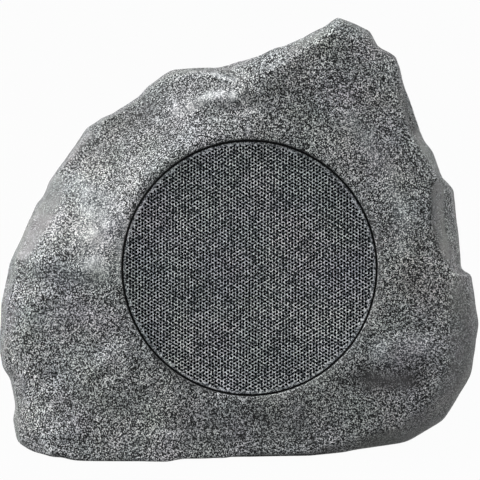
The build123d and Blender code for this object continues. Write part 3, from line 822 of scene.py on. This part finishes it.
def fold_edge(sheet, profile):
    """Draws the outer edge of the disc out to the circle and folds it along a (radius, height) profile."""
    edit(sheet, "DESELECT")
    bpy.ops.mesh.select_mode(type="EDGE")
    mesh = bmesh.from_edit_mesh(sheet.data)
    hole_edge = 1.1 * HOLE_RADIUS * MM
    for edge in mesh.edges:
        edge.select_set(edge.is_boundary and edge.calc_length() > hole_edge)
    for radius, height in profile:
        bpy.ops.mesh.extrude_edges_move()
        mesh = bmesh.from_edit_mesh(sheet.data)
        for corner in [corner for corner in mesh.verts if corner.select]:
            across = corner.co.xy.normalized() * radius * MM
            corner.co = (across.x, across.y, height * MM)
        bmesh.update_edit_mesh(sheet.data)
    bpy.ops.mesh.select_mode(type="VERT")
    return close(sheet)


fold = arc((GRILLE_RADIUS - GRILLE_SHEET, -GRILLE_SHEET), GRILLE_SHEET, 90, 0, 3)
grille = fold_edge(perforated_disc(), [*fold, (GRILLE_RADIUS, -GRILLE_FRONT - RECESS_DEPTH)])
clean(grille)
modify(grille, "SOLIDIFY", thickness=GRILLE_SHEET * MM, offset=-1.0)
settle(grille, FACE @ Matrix.Translation((0, 0, GRILLE_FRONT * MM)))
keep(grille, "perforated_grille", "enclosure", "grille", "granite_steel")


# Behind the grille, in millimetres: heights along its axis are from the face
BAFFLE = -RECESS_DEPTH
SCRIM_FRONT = -4.0
SCRIM_THICKNESS = 0.6
SCRIM_RADIUS = 87.8
SCRIM_RINGS = (4, 8, 12, 16, 16, 16)        # widths of its rings of faces, from the edge
SEAL = (89.4, 91.4, -6.0)       # inner and outer radius, and its top
FLANGE = -15.5
ROLL_MIDDLE, ROLL_RADIUS, ROLL_WALL, ROLL_FEET = 61.5, 4.4, 0.8, (55.4, 67.6)
ROLL_LIFT = 0.2                 # the roll's middle above the flange
CONE_RIM, CONE_NECK, CONE_RADIUS, NECK_RADIUS = -15.8, -41.8, 57.0, 14.0
CONE_BOW, CONE_RINGS = 1.1, 0.2             # how far it curves in, and how deep its rings are
CONE_WALL, CONE_EDGE = 1.1, 1.6             # its thickness along the axis at the neck, and its rim's width
CONE_STEPS = 24
CAP_RADIUS, CAP_SEAT, CAP_RISE = 22.0, -36.8, 6.0
CAP_WALL, CAP_NARROW = 0.8, 0.96            # its thickness along the axis, and its inside as a share across
CAP_EDGE = (0.4, 0.7)           # the glued edge: how far in and how far down
SPIDER_FLOOR, SPIDER_TOP, SPIDER_RADII = -50.5, -45.5, (14.2, 36.0, 41.0)
SPIDER_DROP = 1.9               # the middle of its rings below its top
SPIDER_SWING, SPIDER_WAVES, SPIDER_STEPS = 1.1, 5, 50
SPIDER_WALL = 0.8
SCREW_CIRCLE, SCREW_START = 78.2, 45.0      # radius, and degrees of the first screw


def rubber_seal():
    """Strip with a round bead, pressed between the grille's skirt and the recess."""
    inner, outer, top = SEAL
    bead = (outer - inner) / 2
    return ring([(outer, BAFFLE), *arc(((inner + outer) / 2, top - bead), bead, 0, 180, 8), (inner, BAFFLE)])


def scrim():
    """Disc of black cloth drawn flat behind the grille."""
    bpy.ops.object.select_all(action="DESELECT")
    bpy.ops.mesh.primitive_circle_add(vertices=64, radius=SCRIM_RADIUS * MM, fill_type="NGON")
    cloth = bpy.context.object
    edit(cloth)
    for width in SCRIM_RINGS:
        bpy.ops.mesh.inset(thickness=width * MM)
    bpy.ops.mesh.poke()
    close(cloth)
    modify(cloth, "SOLIDIFY", thickness=SCRIM_THICKNESS * MM, offset=-1.0)
    return settle(cloth, FACE @ Matrix.Translation((0, 0, SCRIM_FRONT * MM)))


def half_roll():
    """Rubber surround: a half roll on two flat feet."""
    middle = (ROLL_MIDDLE, FLANGE + ROLL_LIFT)
    inner, outer = ROLL_FEET
    under = ROLL_RADIUS - ROLL_WALL
    foot = FLANGE + ROLL_WALL - ROLL_LIFT
    return ring([
        (outer, FLANGE), (outer, foot), *arc(middle, ROLL_RADIUS, 5, 175, 14), (inner, foot), (inner, FLANGE),
        (ROLL_MIDDLE - under, FLANGE), *arc(middle, under, 180, 0, 12), (ROLL_MIDDLE + under, FLANGE),
    ])


def pressed_cone():
    """Diaphragm that curves a little from the neck to the rim, with shallow pressed rings."""
    shares = [i / CONE_STEPS for i in range(CONE_STEPS + 1)]
    bow = [-CONE_BOW * sin(pi * s) + CONE_RINGS * sin(10 * pi * s) for s in shares]
    front, back = [], []
    for share, drop in zip(shares, bow):
        height = CONE_NECK + (CONE_RIM - CONE_NECK) * share + drop
        front.append((NECK_RADIUS + (CONE_RADIUS - CONE_EDGE - NECK_RADIUS) * share, height))
        back.append((NECK_RADIUS + (CONE_RADIUS - NECK_RADIUS) * share, height - CONE_WALL * (1 - share)))
    return ring([*front, *reversed(back)])


def domed_cap():
    """Dust cap: a shallow dome with a glued edge."""
    curve = (CAP_RADIUS ** 2 + CAP_RISE ** 2) / (2 * CAP_RISE)
    middle = CAP_SEAT + CAP_RISE - curve
    dome = [CAP_RADIUS * i / 10 for i in range(11)]
    outside = [(r, middle + sqrt(curve ** 2 - r ** 2)) for r in dome]
    inside = [(CAP_NARROW * r, h - CAP_WALL) for r, h in reversed(outside)]
    edge = (CAP_RADIUS - CAP_EDGE[0], CAP_SEAT - CAP_EDGE[1])
    return settle(turned("cap", [*outside, edge, *inside]), FACE)


def corrugated_spider():
    """Cloth disc pressed into rings, with a foot on the basket's floor. It dips first, clear of the cone."""
    inner, step_out, outer = SPIDER_RADII
    middle, half = SPIDER_TOP - SPIDER_DROP, SPIDER_WALL / 2
    count = range(SPIDER_STEPS + 1)
    radii = [inner + (step_out - inner) * i / SPIDER_STEPS for i in count]
    wave = [middle - SPIDER_SWING * sin(2 * pi * SPIDER_WAVES * i / SPIDER_STEPS) for i in count]
    upper = [(r, h + half) for r, h in zip(radii, wave)]
    lower = [(r, h - half) for r, h in zip(radii, wave)]
    foot = SPIDER_FLOOR + SPIDER_WALL
    return ring([
        *upper, (step_out + SPIDER_WALL, foot), (outer, foot),
        (outer, SPIDER_FLOOR), (step_out, SPIDER_FLOOR), *reversed(lower),
    ])


keep(rubber_seal(), "seal_strip", "enclosure", "grille_seal", "black_rubber")
cloth = keep(scrim(), "scrim_cloth", "enclosure", "grille_scrim", "black_cloth")
keep(half_roll(), "surround_roll", "enclosure", "driver_surround", "black_rubber")
keep(corrugated_spider(), "spider_rings", "enclosure", "spider", "spider_cloth")
keep(pressed_cone(), "cone_diaphragm", "diaphragm", "driver_cone", "cone_plastic")
keep(domed_cap(), "cap_dome", "diaphragm", "dust_cap", "cone_plastic")


# Screws, feet and grommet, in millimetres
BASE_SCREW, DRIVER_SCREW = 11.5, 10.5       # lengths of their shanks
SHANK_RADIUS, HEAD_RADIUS, HEAD_HEIGHT, HEAD_ROUND = 1.9, 3.6, 2.4, 1.5
THREAD_PITCH, THREAD_DEPTH = 1.3, 0.4
TIP_TAPER = 0.6                 # the shank's end is narrower by this in radius
SLOT = (4.4, 0.9, 1.5)          # one arm of the cross recess: length, width and depth
FOOT_DRAFT, FOOT_ROUND = 1.5, 1.1
SOLE_EDGE, SOLE_HOLLOW = 4.0, 0.8
GROMMET = (3.25, 6.4, 9.5, 1.8)             # radii of its bore, neck and flanges, and their thickness
GROMMET_ROUND = 0.6


def round_edges(piece, width):
    """Rounds the sharp edges of a piece."""
    return modify(
        piece, "BEVEL", width=width * MM, segments=3, limit_method="ANGLE", angle_limit=radians(40)
    )


def pan_screw(length):
    """A pan head screw along Z with rings for its thread and a cross recess, its head standing on z = 0."""
    turns = int(length / THREAD_PITCH)
    root = SHANK_RADIUS - THREAD_DEPTH
    thread = []
    for i in range(turns, 0, -1):
        thread += [(root, -i * THREAD_PITCH), (SHANK_RADIUS, (0.5 - i) * THREAD_PITCH)]
    dome = arc((HEAD_RADIUS - HEAD_ROUND, HEAD_HEIGHT - HEAD_ROUND), HEAD_ROUND, 0, 90, 5)
    screw = turned("screw", [
        (0, -length), (SHANK_RADIUS - TIP_TAPER, -length), *thread,
        (SHANK_RADIUS, 0), (HEAD_RADIUS, 0), *dome, (0, HEAD_HEIGHT),
    ], 24)
    long, wide, deep = SLOT
    for size in ((long, wide, 2 * deep), (wide, long, 2 * deep)):
        bpy.ops.object.select_all(action="DESELECT")
        bpy.ops.mesh.primitive_cube_add(size=MM, location=(0, 0, HEAD_HEIGHT * MM), scale=size)
        cut(screw, "DIFFERENCE", settle(bpy.context.object))
    return screw


def placed(piece, spots):
    """Copies of a piece at these places, joined into one."""
    made = [settle(copy_of(piece, piece.name), spot) for spot in spots]
    bpy.data.objects.remove(piece)
    only(made[0])
    for part in made[1:]:
        part.select_set(True)
    bpy.ops.object.join()
    return made[0]


def rubber_foot(node):
    """A square rubber pad, narrower at the ground, with round edges and a shallow hollow in its sole."""
    low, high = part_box(node)
    bpy.ops.object.select_all(action="DESELECT")
    bpy.ops.mesh.primitive_cube_add(size=1, location=(low + high) / 2, scale=high - low)
    foot = settle(bpy.context.object)
    edit(foot, "DESELECT")
    bpy.ops.mesh.select_mode(type="FACE")
    mesh = bmesh.from_edit_mesh(foot.data)
    for face in mesh.faces:
        face.select_set(face.normal.z < -0.9)
    taper = 1 - 2 * FOOT_DRAFT * MM / (high - low).x
    bpy.ops.transform.resize(value=(taper, taper, 1))
    bpy.ops.mesh.inset(thickness=SOLE_EDGE * MM)
    bpy.ops.mesh.inset(thickness=SOLE_HOLLOW * MM, depth=-SOLE_HOLLOW * MM)
    bpy.ops.mesh.select_mode(type="VERT")
    return round_edges(close(foot), FOOT_ROUND)


def rubber_grommet():
    """A grooved ring in the base plate, its edges rounded."""
    low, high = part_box("cable_grommet")
    half = (high - low).z / 2 / MM
    bore, neck, flange, lip = GROMMET
    profile = [
        (bore, half), (flange, half), (flange, half - lip), (neck, half - lip), (neck, lip - half),
        (flange, lip - half), (flange, -half), (bore, -half), (bore, half),
    ]
    grommet = settle(turned("grommet", profile, 48), Matrix.Translation((low + high) / 2))
    return round_edges(grommet, GROMMET_ROUND)


def base_screw_spots():
    """Where the base screws' heads meet the plate, looking down out of it."""
    spots = []
    for solid_screw in islands(copy_of(nodes["base_screws"], "screws"), 6):
        corners = places(solid_screw)
        low, high = corners.min(0), corners.max(0)
        seat = ((low[0] + high[0]) / 2, (low[1] + high[1]) / 2, low[2] + HEAD_HEIGHT * MM)
        spots.append(Matrix.Translation(seat) @ Matrix.Rotation(pi, 4, "X"))
        bpy.data.objects.remove(solid_screw)
    return spots


def driver_screw_spots():
    """Where the driver screws' heads meet the flange of the basket."""
    out = Matrix.Translation((SCREW_CIRCLE * MM, 0, FLANGE * MM))
    return [FACE @ Matrix.Rotation(radians(SCREW_START + 90 * i), 4, "Z") @ out for i in range(4)]


plate_screws = placed(pan_screw(BASE_SCREW), base_screw_spots())
keep(plate_screws, "plate_screws", "enclosure", "base_screws", "screw_steel")
flange_screws = placed(pan_screw(DRIVER_SCREW), driver_screw_spots())
keep(flange_screws, "flange_screws", "enclosure", "driver_screws", "screw_steel")
for node in ("foot_front_left", "foot_front_right", "foot_rear_left", "foot_rear_right"):
    keep(rubber_foot(node), f"rubber_{node}", "enclosure", node, "black_rubber")
keep(rubber_grommet(), "rubber_grommet", "enclosure", "cable_grommet", "black_rubber")


# Wadding: the pad's solid drawn in, then blown up as cloth and roughened by its fibres, in millimetres
PAD_VOXEL = 4.0
PAD_SHRINK = 2.2
PAD_SWELL = 1.7                 # the most that a point may move out
PAD_PRESSURE, PAD_FRAMES = 4.0, 20
FIBRE_GRAIN, FIBRE_HEIGHT = 6.0, 0.8


def wadding_pad():
    """Loose pad against the inside of the back."""
    pad = copy_of(nodes["damping_pad"], "pad")
    modify(pad, "REMESH", mode="VOXEL", voxel_size=PAD_VOXEL * MM)
    modify(pad, "DISPLACE", strength=-PAD_SHRINK * MM, mid_level=0.0)
    start = places(pad)
    only(pad)
    cloth = pad.modifiers.new("cloth", "CLOTH")
    cloth.settings.use_pressure = True
    cloth.settings.uniform_pressure_force = PAD_PRESSURE
    cloth.settings.effector_weights.gravity = 0.0
    for number in range(1, PAD_FRAMES + 1):
        bpy.context.scene.frame_set(number)
    bpy.ops.object.modifier_apply(modifier=cloth.name)
    bpy.context.scene.frame_set(1)
    moved = places(pad) - start
    far = np.linalg.norm(moved, axis=1) / (PAD_SWELL * MM)
    move_to(pad, start + moved / np.maximum(far, 1)[:, None])
    modify(pad, "SUBSURF", levels=1, render_levels=1)
    return modify(
        pad, "DISPLACE", texture=clouds("fibres", FIBRE_GRAIN), texture_coords="LOCAL",
        strength=FIBRE_HEIGHT * MM, mid_level=0.6,
    )


pad = keep(wadding_pad(), "wadding_pad", "enclosure", "damping_pad", "wadding")

# The other nodes show as they are in the CAD, in the same finishes
for subpart in frame["record"]["subparts"]:
    for slot in nodes[subpart["node"]].material_slots:
        slot.material = finishes[subpart["material_slot"]]

# Studio, in metres and watts
LAMP_AIM = Vector((0, 0, 0.15))
FLOOR_WHITE = 0.97              # the rest of the floor's light shows the shadow
SKY_STRENGTH = 0.45

bpy.ops.object.select_all(action="DESELECT")
bpy.ops.mesh.primitive_plane_add(size=20)
floor = bpy.context.object
floor.name = "floor"


def backdrop(tree, output, surface, share):
    """Shows white, by this share, to the camera and in reflections, and lets the surface do the rest."""
    path = add(tree, "ShaderNodeLightPath")
    rays = path.outputs["Is Camera Ray"]
    for other in ("Is Glossy Ray", "Is Transmission Ray"):
        rays = add(tree, "ShaderNodeMath", {0: rays, 1: path.outputs[other]}, operation="MAXIMUM").outputs[0]
    amount = add(tree, "ShaderNodeMath", {0: rays, 1: share}, operation="MULTIPLY").outputs[0]
    white = add(tree, "ShaderNodeEmission" if output == "OUTPUT_MATERIAL" else "ShaderNodeBackground")
    mixed = add(tree, "ShaderNodeMixShader", {0: amount, 1: surface, 2: white.outputs[0]})
    last = next(made for made in tree.nodes if made.type == output)
    tree.links.new(mixed.outputs[0], last.inputs["Surface"])


# White studio floor, which keeps a faint shadow
material, tree, shader, spot = finish("white_floor", {"Base Color": linear("#5c5c5c"), "Roughness": 0.9})
backdrop(tree, "OUTPUT_MATERIAL", shader.outputs[0], FLOOR_WHITE)
floor.data.materials.append(material)


def lamp(name, at, width, power):
    """A soft square lamp that points at the stone."""
    light = bpy.data.lights.new(name, "AREA")
    light.size, light.energy = width, power
    holder = bpy.data.objects.new(name, light)
    bpy.context.scene.collection.objects.link(holder)
    holder.location = at
    holder.rotation_euler = (LAMP_AIM - Vector(at)).to_track_quat("-Z", "Y").to_euler()


lamp("key", (-2.4, -0.1, 1.9), 1.0, 108)
lamp("fill", (1.6, -1.6, 2.6), 1.6, 45)
world = bpy.data.worlds.new("studio")
bpy.context.scene.world = world
world.use_nodes = True
sky = world.node_tree.nodes["Background"]
sky.inputs["Color"].default_value = (1, 1, 1, 1)
sky.inputs["Strength"].default_value = SKY_STRENGTH
backdrop(world.node_tree, "OUTPUT_WORLD", sky.outputs[0], 1.0)
bpy.context.scene.view_settings.view_transform = "Standard"
